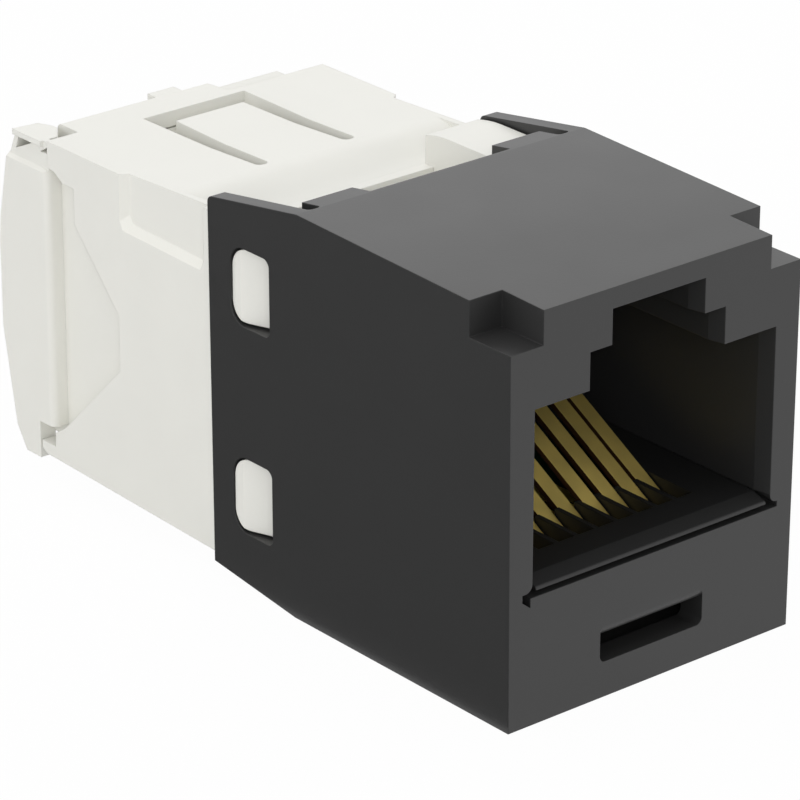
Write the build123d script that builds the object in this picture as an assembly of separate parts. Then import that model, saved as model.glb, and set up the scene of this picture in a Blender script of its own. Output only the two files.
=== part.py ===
from build123d import *
from math import radians, tan
import os

os.makedirs("parts", exist_ok=True)

# Snap-in data jack. X runs across the jack, Y from the plug side to the cable side, Z up.
# The origin is on the port face, at the middle of its width, level with the flat underside.

# Front housing, outside
HOUSING_WIDTH = 14.7
HOUSING_DRAFT = 0.2
HOUSING_DEPTH = 17.95
FRONT_HEIGHT = 16.9
CREST_HEIGHT = 17.25
EAR_LENGTH = 5.55
EAR_END_HEIGHT = 16.36
EAR_ROUND = 0.3
UNDERSIDE_RAMP = 5.15
UNDERSIDE_RISE = 0.6
SIDE_WALL = 0.7
FLOOR_WALL = 1.05
TOP_PLATE = 0.82
FRONT_WALL = 1.2

# Corner notches that hook into the panel frame
NOTCH_WIDTH = 1.6
NOTCH_DEPTH = 2.32
NOTCH_FLOOR = 15.5

# Rear edge of the top plate: two tabs beside two slits
PLATE_PAST_CREST = 0.17
SLIT_LENGTH = 0.1
SLIT_WIDTH = 0.59
SLIT_END_ROUND = 0.2
TAB_LENGTH = 1.1
TAB_WIDTH = 2.49

# Plug port, stepped for the plug's locking tab
PLUG_WIDTH = 11.68
PLUG_PLAY = 0.11
LEAD_IN = 0.18
LEAD_IN_DEPTH = 0.75
WIDE_STEP_WIDTH = 6.5
NARROW_STEP_WIDTH = 4.34
DECK_HEIGHT = 5.95
PLUG_ROOM = 7.1
WIDE_STEP = 1.55
NARROW_STEP = 1.45
REAR_ROOM = 7.45

# Seam under the carrier's lip, with a small pocket at its left end
SEAM_HEIGHT = 0.24
SEAM_LEFT = 0.49
SEAM_RIGHT = 0.38
POCKET_WIDTH = 0.4
POCKET_DEPTH = 0.39
POCKET_SLOPE = 0.32

# Small tool slot in the port face
TOOL_SLOT_WIDTH = 5.3
TOOL_SLOT_FLOOR = 1.5
TOOL_SLOT_HEIGHT = 1.53
TOOL_SLOT_ROUND = 0.28
TOOL_SLOT_BROW = 0.4
TOOL_SLOT_DEPTH = 2.7

# Side windows that catch the rear body
WINDOW_SETBACK = 1.35
WINDOW_LENGTH = 2.45
WINDOW_HEIGHT = 3.3
WINDOW_LOW_Z = 4.2
WINDOW_HIGH_Z = 13.15
WINDOW_REAR_ROUND = 0.85
WINDOW_FRONT_ROUND = 0.35

# Contact carrier
CARRIER_PLAY = 0.05
DECK_THICKNESS = 0.9
LIP_HEIGHT = 0.35
LIP_SETBACK = 0.03
LIP_NOSE = 0.12
LIP_PLAY = 0.03
CARRIER_SIDE = 1.25
CARRIER_BACK = 0.8
SLOT_FRONT = 2.1
RIB_END = 4.4
RIB_THICKNESS = 0.22
COMB_REACH = 1.3
COMB_BOTTOM = 7.4
COMB_TOP = 10.6

# Contact springs
CONTACT_COUNT = 8
CONTACT_PITCH = 1.02
CONTACT_WIDTH = 0.66
CONTACT_THICKNESS = 0.25
CONTACT_SLOPE = 28.7
CONTACT_LEG_HEIGHT = 3.61
CONTACT_NOSE_RADIUS = 0.7
CONTACT_NOSE_Y = 2.35
CONTACT_END_GAP = 0.5
LOW_ROW_DROP = 0.22
LOW_ROW = (1, 2, 3, 4, 8)
TAIL_WIDTH = 0.36

# Circuit board
BOARD_THICKNESS = 1.5
BOARD_GAP = 0.1
BOARD_SIDE_PLAY = 0.3
TAIL_HOLE_RADIUS = 0.31

# Wire terminals, four above and four below the cable
TERMINALS_PER_ROW = 4
TERMINAL_EDGE = 1.6
TERMINAL_ROW_SPACING = 6.8
BLADE_WIDTH = 1.5
BLADE_THICKNESS = 0.4
BLADE_LENGTH = 9.0
BLADE_SHOULDER = 0.3
BLADE_SHOULDER_SLOPE = 0.6
BLADE_MOUTH = 0.4
BLADE_MOUTH_DEPTH = 4.2
BLADE_TIP_FLARE = 0.25
BLADE_TIP_DEPTH = 0.5
BLADE_TIP_BEVEL = 0.3
BLADE_PIN_WIDTH = 0.5

# Rear body
BODY_SETBACK = 0.15
BODY_PLAY = 0.12
BODY_LENGTH = 10.8
BODY_TOP_REAR = 15.42
BODY_TOP_FRONT = 15.68
BODY_BOTTOM_FRONT = 1.0
BODY_BOTTOM_REAR = 1.27
BODY_SIDE_WALL = 0.65
BODY_TOP_WALL = 0.68
BODY_BOTTOM_WALL = 0.65
BODY_BASE_WALL = 1.2
PLUG_SIDE_WALL = 0.43
PLUG_TOP_WALL = 0.27
BODY_SHOULDER = 0.05
BODY_SINK = 0.5
RIM = 0.44

# Top of the rear body: a dip under the plate, a lip over the board and a key block
DIP_DEPTH = 0.72
DIP_LENGTH = 3.1
DIP_FLAT = 0.45
DIP_REACH = 0.5
DIP_STEP = 0.2
BOARD_LIP_REACH = 1.3
BOARD_LIP_THICKNESS = 0.5
KEY_WIDTH = 2.78
KEY_PLAY = 0.03
KEY_END_DROP = 0.2
KEY_END_LENGTH = 1.45

# Bumps that snap into the side windows
BUMP_PLAY = 0.1
BUMP_REAR_PLAY = 0.03
BUMP_INSET = 0.03
BUMP_ROOT = 0.3
BUMP_LAND = 0.5

# Latch tongue on top of the rear body
TONGUE_HALF_REAR = 1.75
TONGUE_HALF_FRONT = 1.95
TONGUE_SETBACK = 1.5
TONGUE_GAP = 1.05
TONGUE_LENGTH = 6.45
TONGUE_SLOT_REAR = 0.88
TONGUE_SLOT_FRONT = 0.57
TONGUE_SLOT_ROUND = 0.27
GUIDE_RIB_HALF = 1.1
GUIDE_RIB_LENGTH = 1.3
GUIDE_RIB_HEIGHT = 0.45
TONGUE_RELIEF = 1.0

# Bridge that runs back from the top of the rear body over the cap
BRIDGE_LENGTH = 1.42
BRIDGE_ROOT = 1.0
BRIDGE_RIGHT_REAR = 1.95
BRIDGE_RIGHT_FRONT = 2.2
BRIDGE_PAD_GAP = 0.13
BRIDGE_ROUND = 0.25

# Sloped recess in each side of the rear body
RECESS_LENGTH = 5.51
RECESS_BOTTOM_FRONT = 12.95
RECESS_BOTTOM_REAR = 13.06
RECESS_CORNER_Y = 0.2
RECESS_CORNER_Z = 0.35
RECESS_TOE_Y = 0.22
RECESS_TOE_Z = 0.5
RECESS_DEPTH = 0.34
RECESS_SLOPE = 0.28
RECESS_STEP_GAP = 0.05

# Finger cut in each side of the rear body: distance in front of the rear end, and height
FINGER_CUT_TOP = ((0.45, 14.2), (1.0, 13.87), (1.77, 13.85), (1.77, 12.3))
FINGER_CUT_BOTTOM = ((4.65, 9.24), (4.65, 6.8), (0.7, 2.87))
FINGER_CUT_RISE = 14.4

# Lugs that run back from the lower corners of the rear body
LUG_LENGTH = 0.95
LUG_TOP = 1.8
LUG_BEVEL_Y = 0.3
LUG_BEVEL_Z = 0.2
LUG_ROOT = 0.5

# Wire towers inside the rear body
TOWER_WIDTH = 2.3
TOWER_HEIGHT = 2.2
TOWER_LENGTH = 8.4
TOWER_BEVEL_X = 0.3
TOWER_BEVEL_Y = 0.5
TOWER_MOUTH = 0.9
TOWER_MOUTH_DEPTH = 4.4

# Wire cap
CAP_PLAY = 0.08
CAP_FRONT_GAP = 1.0
CAP_STEP_PLAY = 0.1
CAP_OVERHANG = 2.2
CABLE_RADIUS = 3.3
CABLE_FUNNEL = 0.6
CABLE_ENTRY_GAP = 3.2
CABLE_SPREAD_GAP = 1.0
PASSAGE_WALL = 0.5
TOWER_PLAY = 0.2
WIRE_SLOT_WIDTH = 1.0
WIRE_SLOT_PAST_TOWER = 2.2

# Finger wings of the wire cap: distances behind the rear body, and heights
WING_PROUD = 0.02
WING_THICKNESS = 0.75
WING_TOP = 14.04
WING_TOP_REAR = 14.3
WING_TOP_END = 2.8
WING_BEVEL_FOOT = 13.95
WING_BULGE = 3.5
WING_BULGE_HIGH = 10.0
WING_BULGE_LOW = 6.2
WING_BULGE_EASE_Y = 0.1
WING_BULGE_EASE_Z = 1.2
WING_HEEL = 2.7
WING_HEEL_Z = 1.95
WING_TOE = 2.05
WING_BOTTOM = 0.96
WING_FRONT_ROUND = 0.3
WING_FRONT_GAP = 0.08
WING_ROOT = 0.02
WING_NOTCH_TOP = 2.62
WING_NOTCH_PLAY = 0.1

# Pad on the left shoulder of the wire cap, over a pocket, and the stop nub beside it
PAD_TOP = 15.28
PAD_THICKNESS = 0.24
PAD_WIDTH = 1.47
PAD_LENGTH = 2.3
PAD_END_SLANT = 0.15
PAD_CORNER_X = 0.28
PAD_CORNER_Y = 0.8
PAD_NOTCH_X = 0.6
PAD_NOTCH_Y = 0.35
PAD_SLANT_Y = 0.85
POCKET_REACH = 1.02
PAD_WEB_ROOT = 0.5
PAD_SETBACK = 0.15
PAD_CHEEK_THICKNESS = 0.3
PAD_CHEEK_REACH = 0.42
PAD_CHEEK_END = 2.28
PAD_CHEEK_END_Z = 14.42
PAD_SLIT_LENGTH = 0.56
PAD_SLIT_Z = 14.76
PAD_SLIT_HEIGHT = 0.34
PAD_POST_TOP = 0.25
PAD_POST_FOOT = 0.3
NUB_LEFT = -0.48
NUB_RIGHT = 0.88
NUB_GAP = 0.05
NUB_LENGTH = 0.65
NUB_ROOT = 0.5

# Overlap by which joined forms meet, and a length that clears the whole jack
BITE = 0.01
FAR = 40.0

# Places that follow from the sizes above
housing_half = HOUSING_WIDTH / 2
inner_half = housing_half - SIDE_WALL
crest_y = HOUSING_DEPTH - EAR_LENGTH
plate_end = crest_y + PLATE_PAST_CREST
plate_under = CREST_HEIGHT - TOP_PLATE
tab_outer = inner_half - SLIT_WIDTH
window_front = HOUSING_DEPTH - WINDOW_SETBACK - WINDOW_LENGTH
port_half = PLUG_WIDTH / 2 + PLUG_PLAY
port_mouth_half = port_half + LEAD_IN
port_top = DECK_HEIGHT + PLUG_ROOM
port_depth = HOUSING_DEPTH - REAR_ROOM
wide_top = port_top + WIDE_STEP
narrow_top = wide_top + NARROW_STEP
lip_bottom = DECK_HEIGHT - LIP_HEIGHT
seam_floor = lip_bottom - SEAM_HEIGHT
carrier_half = inner_half - CARRIER_PLAY
carrier_front = FRONT_WALL + CARRIER_PLAY
carrier_end = port_depth + CARRIER_BACK
contact_end = port_depth - CONTACT_END_GAP
board_front = carrier_end + BOARD_GAP
board_back = board_front + BOARD_THICKNESS
body_front = board_back + BOARD_GAP
body_half = inner_half - BODY_PLAY
sleeve_half = housing_half - BODY_SETBACK
shoulder_y = HOUSING_DEPTH + BODY_SHOULDER
body_end = shoulder_y + BODY_LENGTH
recess_front = shoulder_y + RIM
recess_rear = recess_front + RECESS_LENGTH
step_y = recess_rear + RECESS_STEP_GAP
dip_top = BODY_TOP_FRONT - DIP_DEPTH
dip_front = HOUSING_DEPTH - DIP_REACH
front_top = dip_top - DIP_STEP
front_ceiling = front_top - PLUG_TOP_WALL
key_top = plate_under - KEY_PLAY
cavity_half = sleeve_half - BODY_SIDE_WALL
narrow_half = body_half - PLUG_SIDE_WALL
cavity_low = BODY_BOTTOM_REAR + BODY_BOTTOM_WALL
cavity_high = BODY_TOP_REAR - BODY_TOP_WALL
outer_terminal = narrow_half - TERMINAL_EDGE
tongue_end = body_end - TONGUE_SETBACK
tongue_gap_end = tongue_end + TONGUE_GAP
top_slope = (BODY_TOP_FRONT - BODY_TOP_REAR) / (recess_rear - shoulder_y)
base_end = body_front + BODY_BASE_WALL
tower_end = base_end + TOWER_LENGTH
cap_front = base_end + CAP_FRONT_GAP
cap_end = body_end + CAP_OVERHANG
cap_half = cavity_half - CAP_PLAY
cap_low = cavity_low + CAP_PLAY
cap_high = cavity_high - CAP_PLAY
row_middle = (cap_low + cap_high) / 2
entry_start = tower_end + CABLE_ENTRY_GAP
wing_half = sleeve_half + WING_PROUD
wing_front = body_end + WING_FRONT_GAP
wing_top_end = body_end + WING_TOP_END
pad_inner = -wing_half + PAD_WIDTH
pad_end = wing_front + PAD_LENGTH
pocket_inner = -wing_half + POCKET_REACH


def across(points, x0, x1):
    """Prism from a (y, z) outline, between two places in X."""
    face = Plane.YZ.offset(x0) * make_face(Polyline(*points, close=True))
    return extrude(face, amount=x1 - x0)


def along(face, y0, y1):
    """Prism from an (x, z) face, between two places in Y."""
    return extrude(Plane.XZ.offset(-y0) * face, amount=y0 - y1)


def upright(points, z0, z1):
    """Prism from an (x, y) outline, between two heights."""
    face = Plane.XY.offset(z0) * make_face(Polyline(*points, close=True))
    return extrude(face, amount=z1 - z0)


def block(x0, x1, y0, y1, z0, z1):
    """Upright block between three pairs of places."""
    return upright([(x0, y0), (x1, y0), (x1, y1), (x0, y1)], z0, z1)


def both_sides(solid):
    """A solid and its mirror image across the middle of the jack."""
    return solid + mirror(solid, about=Plane.YZ)


def contact_x(number):
    """Middle of a contact, counted from the left of the port."""
    return (number - (CONTACT_COUNT + 1) / 2) * CONTACT_PITCH


def contact_leg_z(number):
    """Height of a contact's lower leg, at the middle of the metal."""
    drop = LOW_ROW_DROP if number in LOW_ROW else 0.0
    return CONTACT_LEG_HEIGHT - drop


def terminal_place(number):
    """Middle of a wire terminal: the first row below the cable, the second above."""
    column = (number - 1) % TERMINALS_PER_ROW
    row = (number - 1) // TERMINALS_PER_ROW
    x = outer_terminal * (2 * column / (TERMINALS_PER_ROW - 1) - 1)
    z = row_middle + (row - 0.5) * TERMINAL_ROW_SPACING
    return x, z


def side_window(z_middle, grow=0.0):
    """Outline of one side window, with larger radii at the rear corners."""
    low = z_middle - WINDOW_HEIGHT / 2 - grow
    high = z_middle + WINDOW_HEIGHT / 2 + grow
    front = window_front - grow
    rear = window_front + WINDOW_LENGTH + grow
    outline = make_face(Polyline((front, low), (rear, low), (rear, high), (front, high), close=True))
    rear_corners = outline.vertices().sort_by(Axis.X)[-2:]
    outline = fillet(rear_corners, WINDOW_REAR_ROUND)
    front_corners = outline.vertices().sort_by(Axis.X)[:2]
    return fillet(front_corners, WINDOW_FRONT_ROUND)


def housing_envelope():
    """Outer form of the front housing: sloped top, rising tail and drafted sides."""
    profile = across(
        [
            (0, 0), (HOUSING_DEPTH - UNDERSIDE_RAMP, 0), (HOUSING_DEPTH, UNDERSIDE_RISE),
            (HOUSING_DEPTH, EAR_END_HEIGHT), (crest_y, CREST_HEIGHT), (0, FRONT_HEIGHT),
        ],
        -HOUSING_WIDTH, HOUSING_WIDTH,
    )
    ear_edges = profile.edges().filter_by(Axis.X).group_by(Axis.Y)[-1].group_by(Axis.Z)[-1]
    profile = fillet(ear_edges, EAR_ROUND)
    bottom_half = (HOUSING_WIDTH - HOUSING_DRAFT) / 2
    draft = HOUSING_DRAFT / 2 * CREST_HEIGHT / FRONT_HEIGHT
    section = make_face(
        Polyline(
            (-bottom_half, 0), (bottom_half, 0), (bottom_half + draft, CREST_HEIGHT),
            (-bottom_half - draft, CREST_HEIGHT), close=True,
        )
    )
    return profile & along(section, 0, HOUSING_DEPTH)


def port_cut():
    """Stepped plug port with lead-ins on its side walls."""
    steps = (
        (port_half, DECK_HEIGHT, port_top),
        (WIDE_STEP_WIDTH / 2, port_top - BITE, wide_top),
        (NARROW_STEP_WIDTH / 2, wide_top - BITE, narrow_top),
    )
    cuts = []
    for half, low, high in steps:
        mouth = half + LEAD_IN
        outline = [
            (-mouth, -FAR), (mouth, -FAR), (mouth, 0), (half, LEAD_IN_DEPTH),
            (half, port_depth + BITE), (-half, port_depth + BITE), (-half, LEAD_IN_DEPTH), (-mouth, 0),
        ]
        cuts.append(upright(outline, low, high))
    return cuts[0] + cuts[1] + cuts[2]


def lip_cut():
    """Seat of the carrier's lip, flared at the ends, with the seam and its pocket."""
    left = -port_mouth_half - SEAM_LEFT
    right = port_mouth_half + SEAM_RIGHT
    outline = make_face(
        Polyline(
            (left, seam_floor), (right, seam_floor), (right, lip_bottom),
            (port_mouth_half, lip_bottom), (port_mouth_half, DECK_HEIGHT + BITE),
            (-port_mouth_half, DECK_HEIGHT + BITE), (-port_mouth_half, lip_bottom),
            (left, lip_bottom), close=True,
        )
    )
    flares = outline.vertices().filter_by(
        lambda v: abs(v.Z) < BITE and abs(v.Y - lip_bottom) < BITE and abs(abs(v.X) - port_mouth_half) < BITE
    )
    outline = fillet(flares, LIP_HEIGHT - BITE)
    pocket = make_face(
        Polyline(
            (left, seam_floor + BITE), (left, seam_floor + POCKET_SLOPE - POCKET_DEPTH),
            (left + POCKET_WIDTH, seam_floor - POCKET_DEPTH),
            (left + POCKET_WIDTH, seam_floor + BITE), close=True,
        )
    )
    return along(outline, -FAR, FRONT_WALL + BITE) + along(pocket, -FAR, FRONT_WALL + BITE)


def tool_slot():
    """Slot for a small screwdriver, with a rounded brow along its upper edge."""
    middle = TOOL_SLOT_FLOOR + TOOL_SLOT_HEIGHT / 2
    outline = Pos(0, middle) * Rectangle(TOOL_SLOT_WIDTH, TOOL_SLOT_HEIGHT)
    slot = along(fillet(outline.vertices(), TOOL_SLOT_ROUND), -FAR, TOOL_SLOT_DEPTH)
    top = TOOL_SLOT_FLOOR + TOOL_SLOT_HEIGHT
    half = TOOL_SLOT_WIDTH / 2 - TOOL_SLOT_ROUND
    brow = block(-half, half, -FAR, TOOL_SLOT_BROW, top - BITE, top + TOOL_SLOT_BROW)
    edge = Pos(0, TOOL_SLOT_BROW, top + TOOL_SLOT_BROW) * Rot(Y=90) * Cylinder(TOOL_SLOT_BROW, FAR)
    return slot + (brow - edge)


def plate_edge_cut():
    """Everything behind the top plate's rear edge, between the ears."""
    slit_end = plate_end - SLIT_LENGTH
    tab_end = plate_end + TAB_LENGTH
    tab_inner = tab_outer - TAB_WIDTH
    right = [
        (tab_inner, plate_end), (tab_inner, tab_end), (tab_outer, tab_end),
        (tab_outer, slit_end), (inner_half, slit_end), (inner_half, FAR),
    ]
    left = [(-x, y) for x, y in reversed(right)]
    outline = make_face(Polyline(*left, *right, close=True))
    slit_ends = outline.vertices().group_by(Axis.Y)[0]
    outline = fillet(slit_ends, SLIT_END_ROUND)
    return extrude(Plane.XY.offset(plate_under - TOP_PLATE) * outline, amount=FAR)


def front_housing():
    """Black front housing: port, panel notches, ears, windows and tool slot."""
    shell = housing_envelope()
    notch = block(housing_half - NOTCH_WIDTH, FAR, -FAR, NOTCH_DEPTH, NOTCH_FLOOR, FAR)
    shell -= both_sides(notch)
    shell -= port_cut()
    lower_room = block(-inner_half, inner_half, FRONT_WALL, FAR, FLOOR_WALL, DECK_HEIGHT)
    back_room = block(-port_half, port_half, port_depth, FAR, DECK_HEIGHT - BITE, port_top)
    rear_room = block(-inner_half, inner_half, carrier_end, FAR, FLOOR_WALL, plate_under)
    shell -= lower_room + back_room + rear_room
    shell -= lip_cut()
    shell -= plate_edge_cut()
    for middle in (WINDOW_LOW_Z, WINDOW_HIGH_Z):
        shell -= extrude(Plane.YZ.offset(-FAR) * side_window(middle), amount=2 * FAR)
    shell -= tool_slot()
    return shell


def contact_carrier():
    """Black carrier: deck with slots, front lip, side rails, back wall and comb."""
    under = DECK_HEIGHT - DECK_THICKNESS
    profile = make_face(
        Polyline(
            (LIP_SETBACK, lip_bottom), (LIP_SETBACK, lip_bottom + LIP_NOSE),
            (LEAD_IN_DEPTH, DECK_HEIGHT), (carrier_end, DECK_HEIGHT), (carrier_end, under),
            (carrier_front, under), (carrier_front, lip_bottom), close=True,
        )
    )
    nose = profile.vertices().group_by(Axis.X)[0].sort_by(Axis.Y)[-1]
    profile = fillet(nose, LIP_NOSE - BITE)
    deck_half = port_half - LIP_PLAY
    carrier = extrude(Plane.YZ.offset(-deck_half) * profile, amount=2 * deck_half)
    carrier += block(
        -carrier_half, carrier_half, carrier_front, carrier_end, under, DECK_HEIGHT - CARRIER_PLAY
    )
    rail = block(
        carrier_half - CARRIER_SIDE, carrier_half, carrier_front, carrier_end,
        FLOOR_WALL + CARRIER_PLAY, under + BITE,
    )
    carrier += both_sides(rail)
    back_half = port_half - CARRIER_PLAY
    carrier += block(
        -back_half, back_half, port_depth, carrier_end, DECK_HEIGHT - BITE, port_top - CARRIER_PLAY
    )
    for gap in range(CONTACT_COUNT + 1):
        x = contact_x(gap + 0.5)
        carrier += block(
            x - RIB_THICKNESS / 2, x + RIB_THICKNESS / 2,
            port_depth - COMB_REACH, port_depth + BITE, COMB_BOTTOM, COMB_TOP,
        )
    window_half = (CONTACT_COUNT * CONTACT_PITCH - RIB_THICKNESS) / 2
    carrier -= block(-window_half, window_half, RIB_END, port_depth, under - BITE, DECK_HEIGHT + BITE)
    slot_half = (CONTACT_PITCH - RIB_THICKNESS) / 2
    for number in range(1, CONTACT_COUNT + 1):
        x = contact_x(number)
        carrier -= block(
            x - slot_half, x + slot_half, SLOT_FRONT, RIB_END + BITE, under - BITE, DECK_HEIGHT + BITE
        )
    return carrier


def contact_spring(number):
    """Contact spring: leg from the board, round nose, finger rising to the back."""
    slope = radians(CONTACT_SLOPE)
    leg_z = contact_leg_z(number)
    corner_y = CONTACT_NOSE_Y + CONTACT_NOSE_RADIUS - CONTACT_NOSE_RADIUS / tan(slope / 2)
    end_z = leg_z + (contact_end - corner_y) * tan(slope)
    leg_start = board_front - BOARD_GAP / 2
    path = FilletPolyline(
        (leg_start, leg_z), (corner_y, leg_z), (contact_end, end_z), radius=CONTACT_NOSE_RADIUS
    )
    strip = trace(path, CONTACT_THICKNESS)
    x = contact_x(number)
    spring = extrude(Plane.YZ.offset(x - CONTACT_WIDTH / 2) * strip, amount=CONTACT_WIDTH)
    half = CONTACT_THICKNESS / 2
    tail = block(
        x - TAIL_WIDTH / 2, x + TAIL_WIDTH / 2, leg_start - BITE, board_back, leg_z - half, leg_z + half
    )
    return spring + tail


def circuit_board():
    """Upright board that joins the contacts to the wire terminals."""
    half = inner_half - BOARD_SIDE_PLAY
    low = FLOOR_WALL + BOARD_SIDE_PLAY
    high = front_top - BOARD_LIP_THICKNESS - BOARD_SIDE_PLAY
    board = block(-half, half, board_front, board_back, low, high)
    for number in range(1, CONTACT_COUNT + 1):
        hole = Pos(contact_x(number), board_front, contact_leg_z(number)) * Rot(X=-90)
        board -= hole * Cylinder(TAIL_HOLE_RADIUS, FAR)
        x, z = terminal_place(number)
        half_x = BLADE_PIN_WIDTH / 2
        half_z = BLADE_THICKNESS / 2
        board -= block(x - half_x, x + half_x, 0, FAR, z - half_z, z + half_z)
    return board


def wire_terminal(number):
    """Forked terminal blade with a pin seated in the board."""
    x, z = terminal_place(number)
    end = board_back + BLADE_LENGTH
    half = BLADE_WIDTH / 2
    mouth = BLADE_MOUTH / 2
    pin = BLADE_PIN_WIDTH / 2
    shoulder = board_back + BLADE_SHOULDER
    root = end - BLADE_MOUTH_DEPTH
    right = [
        (pin, board_front), (pin, shoulder), (half, shoulder + BLADE_SHOULDER_SLOPE),
        (half, end - BLADE_TIP_BEVEL), (mouth + BLADE_TIP_FLARE, end), (mouth, end - BLADE_TIP_DEPTH),
        (mouth, root),
    ]
    outline = [(x + dx, y) for dx, y in right] + [(x - dx, y) for dx, y in reversed(right)]
    return upright(outline, z - BLADE_THICKNESS / 2, z + BLADE_THICKNESS / 2)


def latch_bump(z_middle):
    """Wedge that snaps into a side window: flat at the rear, ramp to the front."""
    front = window_front + BUMP_PLAY
    rear = window_front + WINDOW_LENGTH - BUMP_REAR_PLAY
    root = body_half - BUMP_ROOT
    out = (HOUSING_WIDTH - HOUSING_DRAFT) / 2 - BUMP_INSET
    outline = [(root, front), (body_half, front), (out, rear - BUMP_LAND), (out, rear), (root, rear)]
    wedge = upright(outline, z_middle - WINDOW_HEIGHT, z_middle + WINDOW_HEIGHT)
    trim = Plane.YZ * Pos(BUMP_PLAY - BUMP_REAR_PLAY) * side_window(z_middle, grow=-BUMP_PLAY)
    return wedge & extrude(trim, amount=FAR)


def dip_cut():
    """Hollow that curves down from the top of the rear body to under the plate."""
    start = dip_front + DIP_LENGTH
    start_z = BODY_TOP_REAR + top_slope * (recess_rear - start)
    foot = (dip_front + DIP_FLAT, dip_top)
    curve = Spline((start, start_z), foot, tangents=[(-1, top_slope), (-1, 0)])
    rest = Polyline(
        foot, (dip_front, dip_top), (dip_front, front_top), (0, front_top), (0, FAR), (start, FAR),
        (start, start_z),
    )
    return extrude(Plane.YZ.offset(-body_half) * make_face(curve + rest), amount=2 * body_half)


def key_block():
    """Key block beside the dip, with its top curving down at the rear."""
    curve_start = (HOUSING_DEPTH - KEY_END_LENGTH, key_top)
    curve_end = (HOUSING_DEPTH, key_top - KEY_END_DROP)
    root = front_top - BODY_SINK
    curve = TangentArc(curve_start, curve_end, tangent=(1, 0))
    rest = Polyline(
        curve_end, (HOUSING_DEPTH, root), (body_front, root), (body_front, key_top), curve_start
    )
    inner = body_half - KEY_WIDTH
    return extrude(Plane.YZ.offset(inner) * make_face(curve + rest), amount=KEY_WIDTH)


def rear_body_shell():
    """Outer form of the rear body, before its cavity, tongue and towers."""
    sleeve = across(
        [
            (shoulder_y, BODY_BOTTOM_FRONT), (body_end, BODY_BOTTOM_REAR), (body_end, BODY_TOP_REAR),
            (recess_rear, BODY_TOP_REAR), (shoulder_y, BODY_TOP_FRONT),
        ],
        -sleeve_half, sleeve_half,
    )
    plug = block(
        -body_half, body_half, body_front, shoulder_y + BODY_SINK, FLOOR_WALL + BODY_PLAY, dip_top
    )
    shell = sleeve + plug - dip_cut()
    shell += block(
        -body_half, body_half, body_front - BOARD_LIP_REACH, body_front + BITE,
        front_top - BOARD_LIP_THICKNESS, front_top,
    )
    shell += key_block()
    for middle in (WINDOW_LOW_Z, WINDOW_HIGH_Z):
        shell += both_sides(latch_bump(middle))
    return shell


def bridge():
    """Strip that runs back from the top of the rear body, over the cap."""
    left = pad_inner + BRIDGE_PAD_GAP
    root = body_end - BRIDGE_ROOT
    end = body_end + BRIDGE_LENGTH
    strip = upright(
        [
            (left, root), (BRIDGE_RIGHT_FRONT, root), (BRIDGE_RIGHT_FRONT, body_end),
            (BRIDGE_RIGHT_REAR, end), (left, end),
        ],
        cavity_high, BODY_TOP_REAR,
    )
    rear_top = strip.edges().filter_by(Axis.X).group_by(Axis.Y)[-1].group_by(Axis.Z)[-1]
    return fillet(rear_top, BRIDGE_ROUND)


def finger_cut():
    """Opening in the side wall through which a finger reaches the wing."""
    corners = [(-BRIDGE_ROOT, FINGER_CUT_RISE), *FINGER_CUT_TOP, *FINGER_CUT_BOTTOM, (-BRIDGE_ROOT, LUG_TOP)]
    points = [(body_end - forward, z) for forward, z in corners]
    return across(points, cavity_half - CAP_PLAY, FAR)


def tongue_slots():
    """Slots beside and behind the latch tongue."""
    half = TONGUE_HALF_REAR
    root = TONGUE_HALF_FRONT
    root_y = tongue_end - TONGUE_LENGTH
    slots = make_face(
        Polyline(
            (-half - TONGUE_SLOT_REAR, tongue_gap_end), (half + TONGUE_SLOT_REAR, tongue_gap_end),
            (root + TONGUE_SLOT_FRONT, root_y), (root, root_y), (half, tongue_end),
            (-half, tongue_end), (-root, root_y), (-root - TONGUE_SLOT_FRONT, root_y), close=True,
        )
    )
    slots = fillet(slots.vertices().group_by(Axis.Y)[0], TONGUE_SLOT_ROUND)
    return extrude(Plane.XY.offset(front_ceiling - BITE) * slots, amount=FAR)


def guide_rib():
    """Rib under the tongue that runs in the groove of the wire cap."""
    return block(
        -GUIDE_RIB_HALF, GUIDE_RIB_HALF, tongue_end - GUIDE_RIB_LENGTH, tongue_end,
        cavity_high - GUIDE_RIB_HEIGHT, cavity_high + BITE,
    )


def side_recess():
    """Recess with sloped walls, open at the top edge of the side."""
    high = BODY_TOP_FRONT + RECESS_DEPTH
    bend_y = recess_rear - RECESS_CORNER_Y
    bend_z = RECESS_BOTTOM_REAR + RECESS_CORNER_Z
    outer = make_face(
        Polyline(
            (recess_front, RECESS_BOTTOM_FRONT + RECESS_TOE_Z),
            (recess_front + RECESS_TOE_Y, RECESS_BOTTOM_FRONT),
            (bend_y, RECESS_BOTTOM_REAR), (recess_rear, bend_z), (recess_rear, high),
            (recess_front, high), close=True,
        )
    )
    inner = make_face(
        Polyline(
            (recess_front, RECESS_BOTTOM_FRONT + RECESS_TOE_Z + RECESS_SLOPE),
            (recess_front + RECESS_TOE_Y, RECESS_BOTTOM_FRONT + RECESS_SLOPE),
            (bend_y - RECESS_SLOPE, RECESS_BOTTOM_REAR + RECESS_SLOPE),
            (recess_rear - RECESS_SLOPE, bend_z + RECESS_SLOPE),
            (recess_rear - RECESS_SLOPE, high), (recess_front, high), close=True,
        )
    )
    floor = Plane.YZ.offset(sleeve_half - RECESS_DEPTH) * inner
    return loft([floor, Plane.YZ.offset(sleeve_half) * outer])


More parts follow.
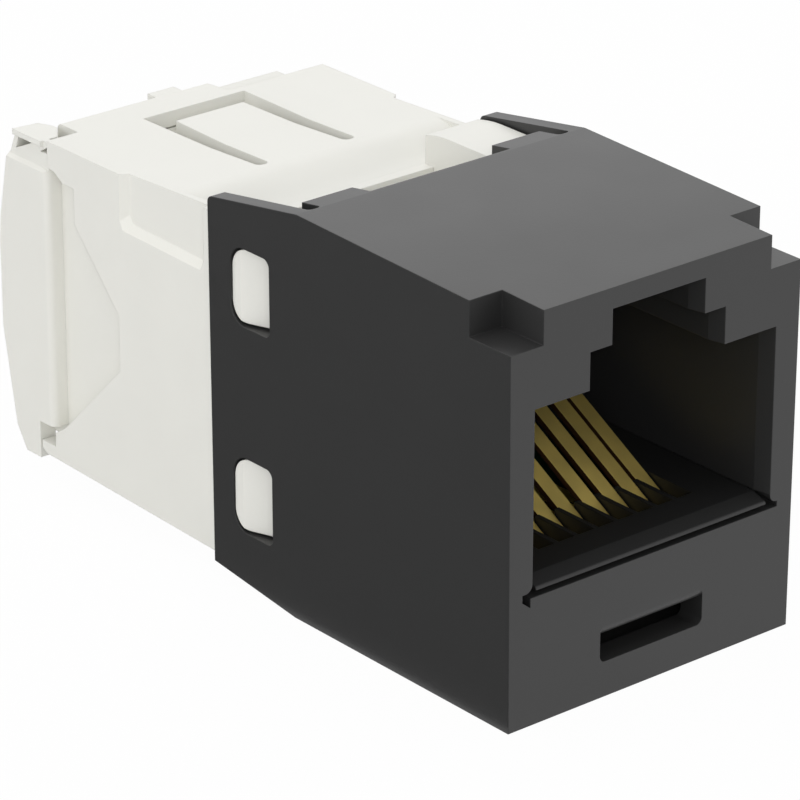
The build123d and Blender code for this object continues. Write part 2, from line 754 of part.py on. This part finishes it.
def wire_tower(number):
    """Tower that guards one terminal blade, split by the wire's slot."""
    x, z = terminal_place(number)
    half = TOWER_WIDTH / 2
    mouth = TOWER_MOUTH / 2
    right = [
        (half, base_end - BITE), (half, tower_end - TOWER_BEVEL_Y), (half - TOWER_BEVEL_X, tower_end),
        (mouth, tower_end), (mouth, tower_end - TOWER_MOUTH_DEPTH),
    ]
    outline = [(x + dx, y) for dx, y in right] + [(x - dx, y) for dx, y in reversed(right)]
    return upright(outline, z - TOWER_HEIGHT / 2, z + TOWER_HEIGHT / 2)


def blade_room(number):
    """Slot through the base wall and tower for one terminal blade."""
    x, z = terminal_place(number)
    half_x = BLADE_WIDTH / 2
    half_z = BLADE_THICKNESS / 2
    return block(x - half_x, x + half_x, board_back, board_back + BLADE_LENGTH, z - half_z, z + half_z)


def tail_lug():
    """Low lug of the side wall that runs back under the wing of the cap."""
    root = body_end - LUG_ROOT
    end = body_end + LUG_LENGTH
    return across(
        [
            (root, BODY_BOTTOM_REAR), (end - LUG_BEVEL_Y, BODY_BOTTOM_REAR),
            (end, BODY_BOTTOM_REAR + LUG_BEVEL_Z), (end, LUG_TOP), (root, LUG_TOP),
        ],
        cavity_half, sleeve_half,
    )


def rear_body():
    """White rear body: sleeve, latch tongue, finger cuts, base wall and wire towers."""
    body = rear_body_shell() + bridge()
    body -= block(-cavity_half, cavity_half, step_y, FAR, cavity_low, cavity_high)
    body -= block(-narrow_half, narrow_half, base_end, step_y + BITE, cavity_low, front_ceiling)
    body -= both_sides(finger_cut())
    body -= tongue_slots()
    body += guide_rib()
    body -= both_sides(side_recess())
    body += both_sides(tail_lug())
    for number in range(1, CONTACT_COUNT + 1):
        body += wire_tower(number)
    for number in range(1, CONTACT_COUNT + 1):
        body -= blade_room(number)
    return body


def tower_room(number):
    """Room for a tower, with the slot where its wire is laid."""
    x, z = terminal_place(number)
    half_x = TOWER_WIDTH / 2 + TOWER_PLAY
    half_z = TOWER_HEIGHT / 2 + TOWER_PLAY
    room = block(x - half_x, x + half_x, 0, tower_end + TOWER_PLAY, z - half_z, z + half_z)
    low, high = (z, FAR) if z > row_middle else (-FAR, z)
    wire_half = WIRE_SLOT_WIDTH / 2
    wire = block(x - wire_half, x + wire_half, 0, tower_end + WIRE_SLOT_PAST_TOWER, low, high)
    return room + wire


def cable_room():
    """Round cable entry that opens into the gap between the terminal rows."""
    entry = Pos(0, entry_start, row_middle) * Rot(X=-90) * Cylinder(
        CABLE_RADIUS, FAR, align=(Align.CENTER, Align.CENTER, Align.MIN)
    )
    funnel = Pos(0, cap_end, row_middle) * Rot(X=90) * Cone(
        CABLE_RADIUS + CABLE_FUNNEL, CABLE_RADIUS, CABLE_FUNNEL,
        align=(Align.CENTER, Align.CENTER, Align.MIN),
    )
    gap_half = (TERMINAL_ROW_SPACING - TOWER_HEIGHT) / 2 - TOWER_PLAY - PASSAGE_WALL
    side = outer_terminal + TOWER_WIDTH / 2
    passage = block(-side, side, 0, entry_start + BITE, row_middle - gap_half, row_middle + gap_half)
    spread = block(
        -CABLE_RADIUS, CABLE_RADIUS, tower_end + CABLE_SPREAD_GAP, entry_start + BITE,
        row_middle - CABLE_RADIUS, row_middle + CABLE_RADIUS,
    )
    return entry + funnel + passage + spread


def wing():
    """Finger wing: flat outer face, rear edge bulging back, notch over the lug."""
    bulge = body_end + WING_BULGE
    notch_end = body_end + LUG_LENGTH + WING_NOTCH_PLAY
    outline = make_face(
        Polyline(
            (wing_front, WING_TOP), (wing_top_end, WING_TOP_REAR),
            (bulge - WING_BULGE_EASE_Y, WING_BULGE_HIGH + WING_BULGE_EASE_Z),
            (bulge, WING_BULGE_HIGH), (bulge, WING_BULGE_LOW), (body_end + WING_HEEL, WING_HEEL_Z),
            (body_end + WING_TOE, WING_BOTTOM), (notch_end, WING_BOTTOM), (notch_end, WING_NOTCH_TOP),
            (wing_front, WING_NOTCH_TOP), close=True,
        )
    )
    thickness = WING_THICKNESS + WING_ROOT
    plate = extrude(Plane.YZ.offset(wing_half - thickness) * outline, amount=thickness)
    front_edge = plate.edges().filter_by(Axis.Z).group_by(Axis.Y)[0].group_by(Axis.X)[-1]
    plate = fillet(front_edge, WING_FRONT_ROUND)
    bevel = make_face(
        Polyline(
            (wing_half, WING_BEVEL_FOOT), (wing_half, WING_BEVEL_FOOT + WING_THICKNESS),
            (wing_half - WING_THICKNESS, WING_BEVEL_FOOT + WING_THICKNESS), close=True,
        )
    )
    return plate - along(bevel, 0, FAR)


def pad():
    """Small ledge on the left shoulder of the cap, on a web, a rear post and a cheek."""
    under = PAD_TOP - PAD_THICKNESS
    notch_x = pad_inner - PAD_NOTCH_X
    notch_y = wing_front + PAD_NOTCH_Y
    slant_end = notch_y + PAD_SLANT_Y
    ledge = upright(
        [
            (-wing_half, notch_y), (notch_x, notch_y), (pad_inner, slant_end),
            (pad_inner, pad_end - PAD_CORNER_Y), (pad_inner - PAD_CORNER_X, pad_end - PAD_END_SLANT),
            (-wing_half, pad_end),
        ],
        under, PAD_TOP,
    )
    web = upright(
        [
            (pocket_inner, slant_end), (pad_inner, slant_end), (pad_inner, pad_end - PAD_CORNER_Y),
            (pad_inner - PAD_CORNER_X, cap_end), (pocket_inner, cap_end),
        ],
        cap_high - PAD_WEB_ROOT, under + BITE,
    )
    post = across(
        [
            (pad_end - PAD_POST_TOP, under + BITE), (pad_end, under + BITE), (wing_top_end, WING_TOP),
            (wing_top_end - PAD_POST_FOOT, WING_TOP),
        ],
        -wing_half + PAD_SETBACK, pocket_inner + BITE,
    )
    cheek = across(
        [
            (wing_front, WING_TOP), (wing_front, PAD_SLIT_Z), (wing_front + PAD_SLIT_LENGTH, PAD_SLIT_Z),
            (wing_front, PAD_SLIT_Z + PAD_SLIT_HEIGHT), (wing_front, PAD_TOP),
            (wing_front + PAD_CHEEK_REACH, PAD_TOP), (wing_front + PAD_CHEEK_END, PAD_CHEEK_END_Z),
            (wing_top_end, WING_TOP),
        ],
        -wing_half + PAD_SETBACK, -wing_half + PAD_SETBACK + PAD_CHEEK_THICKNESS,
    )
    return ledge + web + post + cheek


def pocket_cut():
    """Pocket under the pad, with its floor level with the top of the wing."""
    return across(
        [
            (wing_front, WING_TOP), (wing_top_end, WING_TOP_REAR), (wing_top_end, FAR), (wing_front, FAR)
        ],
        -FAR, pocket_inner,
    )


def nub():
    """Low stop rib on the cap, just behind the bridge of the rear body."""
    front = body_end + BRIDGE_LENGTH + NUB_GAP
    return block(NUB_LEFT, NUB_RIGHT, front, front + NUB_LENGTH, cap_high - NUB_ROOT, PAD_TOP)


def wire_cap():
    """White wire cap: block that slides in the sleeve, wings and cable entry."""
    front_half = narrow_half - CAP_PLAY
    step = step_y + CAP_STEP_PLAY
    cap = upright(
        [
            (-front_half, cap_front), (front_half, cap_front), (front_half, step), (cap_half, step),
            (cap_half, cap_end), (-cap_half, cap_end), (-cap_half, step), (-front_half, step),
        ],
        cap_low, cap_high,
    )
    cap -= block(-FAR, FAR, 0, step, front_ceiling - CAP_PLAY, FAR)
    cap -= pocket_cut()
    cap += both_sides(wing())
    cap += pad() + nub()
    groove_half = TONGUE_HALF_REAR + TONGUE_RELIEF
    groove_floor = cavity_high - GUIDE_RIB_HEIGHT - CAP_PLAY
    cap -= block(-groove_half, groove_half, 0, tongue_gap_end, groove_floor, FAR)
    for number in range(1, CONTACT_COUNT + 1):
        cap -= tower_room(number)
    cap -= cable_room()
    return cap


def write(solid, name):
    """Write one node as a single solid."""
    export_step(solid, f"parts/{name}.step")


write(front_housing(), "front_housing")
write(contact_carrier(), "contact_carrier")
write(circuit_board(), "circuit_board")
write(rear_body(), "rear_body")
write(wire_cap(), "wire_cap")
for count in range(1, CONTACT_COUNT + 1):
    write(contact_spring(count), f"contact_{count}")
    write(wire_terminal(count), f"wire_terminal_{count}")
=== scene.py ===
from math import cos, radians, sin

import bmesh
import bpy
from mathutils import Matrix, Vector


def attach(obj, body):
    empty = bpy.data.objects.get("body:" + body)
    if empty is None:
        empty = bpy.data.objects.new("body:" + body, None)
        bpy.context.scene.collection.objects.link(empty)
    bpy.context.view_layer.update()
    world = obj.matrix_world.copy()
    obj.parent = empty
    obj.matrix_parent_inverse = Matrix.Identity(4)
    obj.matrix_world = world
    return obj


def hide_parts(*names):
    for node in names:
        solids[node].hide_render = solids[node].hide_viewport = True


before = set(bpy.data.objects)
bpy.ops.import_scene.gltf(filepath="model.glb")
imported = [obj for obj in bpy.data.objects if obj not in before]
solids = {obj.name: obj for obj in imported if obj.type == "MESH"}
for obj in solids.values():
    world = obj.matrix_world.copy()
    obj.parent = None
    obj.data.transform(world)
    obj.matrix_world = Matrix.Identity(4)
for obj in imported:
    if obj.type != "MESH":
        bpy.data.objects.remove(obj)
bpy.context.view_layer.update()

# The viewing place: a long lens in front of the port, to the left and a little above.
# Angles are in degrees, the lens and its sensor in millimetres, and other lengths in metres.
VIEW_TURN = -39.882
VIEW_RISE = 23.884
VIEW_ROLL = 0.077
VIEW_DISTANCE = 0.18357
VIEW_TARGET = Vector((-0.004213, 0.010000, 0.009494))
LENS = 213.74
SENSOR_WIDTH = 36.0
NEAREST_SEEN = 0.01
FARTHEST_SEEN = 10.0

turn = radians(VIEW_TURN)
rise = radians(VIEW_RISE)
roll = radians(VIEW_ROLL)
toward = Vector((sin(turn) * cos(rise), -cos(turn) * cos(rise), sin(rise)))
level_right = Vector((cos(turn), sin(turn), 0.0))
level_up = toward.cross(level_right)
right = level_right * cos(roll) + level_up * sin(roll)
up = level_up * cos(roll) - level_right * sin(roll)
camera_data = bpy.data.cameras.new("viewing_camera")
camera_data.sensor_width = SENSOR_WIDTH
camera_data.lens = LENS
camera_data.clip_start = NEAREST_SEEN
camera_data.clip_end = FARTHEST_SEEN
camera = bpy.data.objects.new("viewing_camera", camera_data)
facing = Matrix((right, up, toward)).transposed().to_4x4()
camera.matrix_world = Matrix.Translation(VIEW_TARGET + toward * VIEW_DISTANCE) @ facing
bpy.context.scene.collection.objects.link(camera)
bpy.context.scene.camera = camera
bpy.context.scene.view_settings.view_transform = "Standard"

# The table: a wide sheet of white paper that the jack lies on.
# The camera and the reflections see it as plain white, with a breath of the jack's shadow.
TABLE_HALF = 3.0
PAPER_HEIGHT = -0.00002
PAPER_COLOR = (0.80, 0.80, 0.80, 1.0)
PAPER_WHITE = 1.0
PAPER_GLOW = 0.975


def flat_sheet(name, low, high, height):
    """A flat sheet between two corners."""
    corners = ((low[0], low[1]), (high[0], low[1]), (high[0], high[1]), (low[0], high[1]))
    mesh = bpy.data.meshes.new(name)
    mesh.from_pydata([(x, y, height) for x, y in corners], [], [(0, 1, 2, 3)])
    sheet = bpy.data.objects.new(name, mesh)
    bpy.context.scene.collection.objects.link(sheet)
    return sheet


def empty_tree(owner):
    """The node tree of a material or of the world, with nothing in it."""
    owner.use_nodes = True
    owner.node_tree.nodes.clear()
    return owner.node_tree


def add_node(tree, kind, feeds, **settings):
    """A node with these settings. A feed is a plain value, or the output that leads there."""
    node = tree.nodes.new(kind)
    for label, value in settings.items():
        setattr(node, label, value)
    for socket, feed in feeds.items():
        if isinstance(feed, bpy.types.NodeSocket):
            tree.links.new(feed, node.inputs[socket])
        else:
            node.inputs[socket].default_value = feed
    return node


def math_result(tree, operation, *feeds, **settings):
    """What a math node makes of its feeds."""
    node = add_node(tree, "ShaderNodeMath", dict(enumerate(feeds)), operation=operation, **settings)
    return node.outputs[0]


def seen_rays(tree):
    """One where a ray comes from the camera, a reflection or a see-through piece, else zero."""
    rays = add_node(tree, "ShaderNodeLightPath", {})
    seen = rays.outputs["Is Camera Ray"]
    for kind in ("Is Glossy Ray", "Is Transmission Ray"):
        seen = math_result(tree, "ADD", seen, rays.outputs[kind], use_clamp=True)
    return seen


def show(tree, output_kind, share, first, second):
    """Lead two shaders to the output: the larger the share, the more of the second."""
    mix = add_node(tree, "ShaderNodeMixShader", {0: share, 1: first.outputs[0], 2: second.outputs[0]})
    add_node(tree, output_kind, {"Surface": mix.outputs[0]})


table = flat_sheet("table_paper", (-TABLE_HALF, -TABLE_HALF), (TABLE_HALF, TABLE_HALF), PAPER_HEIGHT)
paper = bpy.data.materials.new("white_paper")
tree = empty_tree(paper)
paper_matte = add_node(tree, "ShaderNodeBsdfDiffuse", {"Color": PAPER_COLOR})
paper_glow = add_node(tree, "ShaderNodeEmission", {"Strength": PAPER_WHITE})
paper_share = math_result(tree, "MULTIPLY", seen_rays(tree), PAPER_GLOW)
show(tree, "ShaderNodeOutputMaterial", paper_share, paper_matte, paper_glow)
table.data.materials.append(paper)

# A dark sheet on the paper, left of the jack and behind it, is painted shade that only reflections
# see:
# it paints a dark reflection into the black side where the bright paper would show. Other rays pass
# through it.
SHADE_SHEET_LOW = (-0.110, -0.030)
SHADE_SHEET_HIGH = (-0.0075, 0.110)
SHADE_SHEET_HEIGHT = -0.00001
# The sheet's grey is the painted dark reflection on the housing's black side.
PAINTED_REFLECTION_GREY = (0.19, 0.19, 0.19, 1.0)

shade_sheet = flat_sheet("painted_shade_sheet", SHADE_SHEET_LOW, SHADE_SHEET_HIGH, SHADE_SHEET_HEIGHT)
painted_reflection_shade = bpy.data.materials.new("painted_reflection_shade_finish")
tree = empty_tree(painted_reflection_shade)
shade_sheet_rays = add_node(tree, "ShaderNodeLightPath", {})
shade_sheet_unseen = add_node(tree, "ShaderNodeBsdfTransparent", {})
painted_dark_reflection = add_node(tree, "ShaderNodeEmission", {"Color": PAINTED_REFLECTION_GREY})
show(tree, "ShaderNodeOutputMaterial", shade_sheet_rays.outputs["Is Glossy Ray"], shade_sheet_unseen, painted_dark_reflection)
shade_sheet.data.materials.append(painted_reflection_shade)

# The studio: white walls all round, and soft boxes that stand just under a metre away.
# The strongest hangs overhead, a smaller one stands behind the camera, the others at the sides.
ROOM_LIGHT = 0.74
ROOM_SEEN = 1.0
LIT_PLACE = Vector((0.0, 0.016, 0.008))
SOFT_BOXES = (
    ("right_back_box", (0.52, 0.66, 0.38), 0.60, 0.75),
    ("right_front_box", (0.52, -0.72, 0.20), 0.60, 0.8),
    ("left_front_box", (-0.52, -0.66, 0.38), 0.30, 1.6),
    ("left_box", (-0.86, 0.10, 0.24), 0.60, 1.4),
    ("overhead_box", (-0.10, 0.05, 0.90), 0.60, 2.1),
)

world = bpy.data.worlds.new("white_room")
tree = empty_tree(world)
lighting_walls = add_node(tree, "ShaderNodeBackground", {"Strength": ROOM_LIGHT})
seen_walls = add_node(tree, "ShaderNodeBackground", {"Strength": ROOM_SEEN})
show(tree, "ShaderNodeOutputWorld", seen_rays(tree), lighting_walls, seen_walls)
bpy.context.scene.world = world

for name, place, width, power in SOFT_BOXES:
    lamp_data = bpy.data.lights.new(name, "AREA")
    lamp_data.size = width
    lamp_data.energy = power
    lamp = bpy.data.objects.new(name, lamp_data)
    lamp.location = place
    lamp.rotation_euler = (LIT_PLACE - Vector(place)).to_track_quat("-Z", "Y").to_euler()
    bpy.context.scene.collection.objects.link(lamp)

# The front housing: one black moulding with the port, the panel notches and the ears, dyed
# through, with the fine even grain of a spark-eroded mould. The tool slot's upper edge rolls
# inward: the shell is a copy of the solid with that edge added. Its sizes are in millimetres.
MILLIMETRE = 0.001
WALL_BACK = 1.2
SLOT_TOP = 3.03
SLOT_HALF = 2.65
BROW_TOP = 3.43
BROW_HALF = 2.37
BROW_BACK = 0.42
EDGE_ROUND = 0.50
EDGE_STEPS = 12
BURIED = 0.05
WELD_GAP = 0.001
CREASE_ANGLE = 12.0
BLACK_PLASTIC = (0.024, 0.024, 0.024, 1.0)
BLACK_ROUGHNESS = 0.42
EDGE_SAMPLES = 6
NOISE_MIDDLE = 0.5
UNCHANGED = 1.0
CLOUD_DETAIL = 4.0
GRAIN_DETAIL = 2.0
GRAIN_HEIGHT = 0.00002


def bar(name, outline, half):
    """A bar along x with this outline in y and z, reaching as far to the left as to the right."""
    count = len(outline)
    points = [
        (x * MILLIMETRE, y * MILLIMETRE, z * MILLIMETRE)
        for x in (-half, half)
        for y, z in outline
    ]
    sides = [(i, (i + 1) % count, count + (i + 1) % count, count + i) for i in range(count)]
    ends = [tuple(range(count))[::-1], tuple(range(count, 2 * count))]
    mesh = bpy.data.meshes.new(name)
    mesh.from_pydata(points, [], sides + ends)
    skin = bmesh.new()
    skin.from_mesh(mesh)
    bmesh.ops.recalc_face_normals(skin, faces=skin.faces)
    skin.to_mesh(mesh)
    skin.free()
    solid = bpy.data.objects.new(name, mesh)
    bpy.context.scene.collection.objects.link(solid)
    return solid


def add_solid(piece, extra):
    """Make one skin of a piece and a bar that is added to it."""
    union = piece.modifiers.new("union", "BOOLEAN")
    union.operation = "UNION"
    union.solver = "EXACT"
    union.object = extra
    graph = bpy.context.evaluated_depsgraph_get()
    mesh = bpy.data.meshes.new_from_object(piece.evaluated_get(graph))
    piece.modifiers.clear()
    piece.data = mesh
    bpy.data.objects.remove(extra)


def crease(mesh):
    """Weld a joined mesh, and shade its flat faces flat and its rounds smooth."""
    for stale in ("custom_normal", "sharp_edge", "sharp_face"):
        if stale in mesh.attributes:
            mesh.attributes.remove(mesh.attributes[stale])
    skin = bmesh.new()
    skin.from_mesh(mesh)
    bmesh.ops.remove_doubles(skin, verts=skin.verts, dist=WELD_GAP * MILLIMETRE)
    skin.to_mesh(mesh)
    skin.free()
    mesh.set_sharp_from_angle(angle=radians(CREASE_ANGLE))


shell = bpy.data.objects.new("housing_shell", solids["front_housing"].data.copy())
bpy.context.scene.collection.objects.link(shell)
brow_fill = [(0.0, BROW_TOP), (0.0, SLOT_TOP), (BROW_BACK, SLOT_TOP), (BROW_BACK, BROW_TOP)]
quarter = [radians(90.0 * step / EDGE_STEPS) for step in range(EDGE_STEPS + 1)]
rolled_edge = [(EDGE_ROUND * (1.0 - cos(at)), SLOT_TOP - EDGE_ROUND * sin(at)) for at in quarter]
rolled_edge += [
    (WALL_BACK, SLOT_TOP - EDGE_ROUND),
    (WALL_BACK, SLOT_TOP + BURIED),
    (BROW_BACK, SLOT_TOP + BURIED),
]
add_solid(shell, bar("brow_fill", brow_fill, BROW_HALF))
add_solid(shell, bar("rolled_edge", rolled_edge, SLOT_HALF + BURIED))
crease(shell.data)
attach(shell, "housing")
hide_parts("front_housing")


def finish_group(name, inputs):
    """An empty group with these inputs, which puts out a color, a roughness and a normal."""
    group = bpy.data.node_groups.new(name, "ShaderNodeTree")
    for label, start in inputs.items():
        kind = "NodeSocketColor" if isinstance(start, tuple) else "NodeSocketFloat"
        socket = group.interface.new_socket(name=label, in_out="INPUT", socket_type=kind)
        socket.default_value = start
    for label, kind in (("Color", "Color"), ("Roughness", "Float"), ("Normal", "Vector")):
        group.interface.new_socket(name=label, in_out="OUTPUT", socket_type="NodeSocket" + kind)
    return group


def noise(group, place, scale, detail):
    """Even noise over a piece: the larger the scale, the finer the noise."""
    feeds = {"Vector": place, "Scale": scale, "Detail": detail}
    return add_node(group, "ShaderNodeTexNoise", feeds).outputs["Fac"]


def put_out(group, given, clouds, color, **relief):
    """Slow changes of tint and shine, fine relief, and edges that look slightly rounded."""
    change = math_result(group, "SUBTRACT", clouds, NOISE_MIDDLE)
    shift = math_result(group, "MULTIPLY_ADD", change, given["Tint Change"], UNCHANGED)
    shine = math_result(group, "MULTIPLY_ADD", change, given["Roughness Change"], given["Roughness"])
    tint = add_node(group, "ShaderNodeVectorMath", {0: color, "Scale": shift}, operation="SCALE")
    radius = given["Edge Radius"]
    soft_edge = add_node(group, "ShaderNodeBevel", {"Radius": radius}, samples=EDGE_SAMPLES)
    bump = add_node(group, "ShaderNodeBump", relief | {"Normal": soft_edge.outputs[0]})
    results = {"Color": tint.outputs[0], "Roughness": shine, "Normal": bump.outputs[0]}
    add_node(group, "NodeGroupOutput", results)


def grain_group():
    """Moulded grain: slow changes of tint, and a fine bump left by the mould."""
    inputs = {
        "Plastic Color": (0.5, 0.5, 0.5, 1.0),
        "Tint Change": 0.05,
        "Tint Scale": 300.0,
        "Roughness": 0.4,
        "Roughness Change": 0.05,
        "Grain Scale": 9000.0,
        "Grain Depth": 0.1,
        "Edge Radius": 0.00005,
    }
    group = finish_group("moulded_grain", inputs)
    given = add_node(group, "NodeGroupInput", {}).outputs
    place = add_node(group, "ShaderNodeTexCoord", {}).outputs
    clouds = noise(group, place["Object"], given["Tint Scale"], CLOUD_DETAIL)
    grain = noise(group, place["Object"], given["Grain Scale"], GRAIN_DETAIL)
    depth = given["Grain Depth"]
    color = given["Plastic Color"]
    put_out(group, given, clouds, color, Height=grain, Strength=depth, Distance=GRAIN_HEIGHT)
    return group


def finish(name, group, values, metallic=0.0):
    """A material whose color, roughness and normal come from a group with its own values."""
    material = bpy.data.materials.new(name)
    material.use_nodes = True
    tree = material.node_tree
    shader = tree.nodes["Principled BSDF"]
    shader.inputs["Metallic"].default_value = metallic
    surface = add_node(tree, "ShaderNodeGroup", values, node_tree=group)
    for label, socket in (("Color", "Base Color"), ("Roughness", "Roughness"), ("Normal", "Normal")):
        tree.links.new(surface.outputs[label], shader.inputs[socket])
    return material


def dress(piece, material):
    """Give one moulded or stamped piece its finish."""
    piece.data.materials.clear()
    piece.data.materials.append(material)


moulded_grain = grain_group()
black_plastic = finish(
    "black_plastic",
    moulded_grain,
    {"Plastic Color": BLACK_PLASTIC, "Roughness": BLACK_ROUGHNESS},
)
dress(shell, black_plastic)

# The contact carrier: a second black moulding, slid into the housing from behind.
# Its deck and front lip show in the port, and its ribs keep the contacts apart.
# Its colour is darker than the housing's black: painted shade for the deck, which lies deep in the
# port.
CARRIER_BLACK_PAINTED_SHADE = (0.011, 0.011, 0.011, 1.0)
CARRIER_ROUGHNESS = 0.50

carrier_plastic_painted_shade = finish(
    "carrier_plastic_painted_shade",
    moulded_grain,
    {"Plastic Color": CARRIER_BLACK_PAINTED_SHADE, "Roughness": CARRIER_ROUGHNESS},
)
dress(solids["contact_carrier"], carrier_plastic_painted_shade)

# The contact springs: eight strips of phosphor bronze, plated with hard gold.
# They are rolled and stamped before plating, so faint lines run along each strip.
CONTACT_COUNT = 8
GOLD = (0.92, 0.74, 0.24, 1.0)
# The strips' cut side faces get a dark reddish brown: painted shade for the narrow gaps between the
# strips.
SIDE_FACE_SHADE_BROWN = (0.16, 0.08, 0.04, 1.0)
GOLD_ROUGHNESS = 0.60
TARNISH_DETAIL = 3.0
LINE_DETAIL = 3.0
LINE_SQUEEZE = 0.04
LINE_HEIGHT = 0.000005
CUT_FACE_FROM = 0.5
CUT_FACE_FULL = 0.8


def rolled_group():
    """Rolled metal: fine lines along the strip, and another color on the cut faces, which face
    sideways; on the gold contacts that color is painted shade.
    """
    inputs = {
        "Metal Color": (0.5, 0.5, 0.5, 1.0),
        "Edge Color": (0.3, 0.3, 0.3, 1.0),
        "Tint Change": 0.2,
        "Tint Scale": 700.0,
        "Roughness": 0.4,
        "Roughness Change": 0.2,
        "Line Scale": 12000.0,
        "Line Depth": 0.2,
        "Edge Radius": 0.00003,
    }
    group = finish_group("rolled_metal", inputs)
    given = add_node(group, "NodeGroupInput", {}).outputs
    place = add_node(group, "ShaderNodeTexCoord", {}).outputs
    clouds = noise(group, place["Object"], given["Tint Scale"], TARNISH_DETAIL)
    squeeze = {"Vector": place["Object"], "Scale": (1.0, LINE_SQUEEZE, LINE_SQUEEZE)}
    along = add_node(group, "ShaderNodeMapping", squeeze)
    lines = noise(group, along.outputs[0], given["Line Scale"], LINE_DETAIL)
    sides = add_node(group, "ShaderNodeSeparateXYZ", {0: place["Normal"]})
    sideways = math_result(group, "ABSOLUTE", sides.outputs["X"])
    limits = {"Value": sideways, "From Min": CUT_FACE_FROM, "From Max": CUT_FACE_FULL}
    cut_face = add_node(group, "ShaderNodeMapRange", limits).outputs["Result"]
    colors = {"Factor": cut_face, "A": given["Metal Color"], "B": given["Edge Color"]}
    color = add_node(group, "ShaderNodeMix", colors, data_type="RGBA").outputs["Result"]
    depth = given["Line Depth"]
    put_out(group, given, clouds, color, Height=lines, Strength=depth, Distance=LINE_HEIGHT)
    return group


rolled_metal = rolled_group()
hard_gold = finish(
    "hard_gold",
    rolled_metal,
    {"Metal Color": GOLD, "Edge Color": SIDE_FACE_SHADE_BROWN, "Roughness": GOLD_ROUGHNESS},
    metallic=1.0,
)
for number in range(1, CONTACT_COUNT + 1):
    dress(solids[f"contact_{number}"], hard_gold)

# The circuit board: glass fibre and resin under a dark green mask.
# It stands upright behind the carrier, and joins the contacts to the terminals.
BOARD_GREEN = (0.012, 0.040, 0.020, 1.0)
BOARD_ROUGHNESS = 0.35

board_mask = finish(
    "board_mask",
    moulded_grain,
    {"Plastic Color": BOARD_GREEN, "Roughness": BOARD_ROUGHNESS},
)
dress(solids["circuit_board"], board_mask)

# The rear body: one white moulding that snaps into the housing's side windows.
# Its plastic is a warm white with a satin skin.
WHITE_PLASTIC = (0.82, 0.815, 0.765, 1.0)
WHITE_ROUGHNESS = 0.45

white_plastic = finish(
    "white_plastic",
    moulded_grain,
    {"Plastic Color": WHITE_PLASTIC, "Roughness": WHITE_ROUGHNESS},
)
dress(solids["rear_body"], white_plastic)

# The wire cap: a block with two finger wings, moulded in the same white plastic.
# It slides into the rear body from behind, and presses the wires into the terminals.
dress(solids["wire_cap"], white_plastic)

# The wire terminals: eight forked blades of bronze, plated with matt tin.
# They stand behind the board, where each one bites through the skin of its wire.
TERMINAL_COUNT = 8
TIN = (0.62, 0.62, 0.60, 1.0)
TIN_EDGE = (0.50, 0.48, 0.45, 1.0)
TIN_ROUGHNESS = 0.42
TIN_LINE_DEPTH = 0.1

matt_tin = finish(
    "matt_tin",
    rolled_metal,
    {
        "Metal Color": TIN,
        "Edge Color": TIN_EDGE,
        "Roughness": TIN_ROUGHNESS,
        "Line Depth": TIN_LINE_DEPTH,
    },
    metallic=1.0,
)
for number in range(1, TERMINAL_COUNT + 1):
    dress(solids[f"wire_terminal_{number}"], matt_tin)
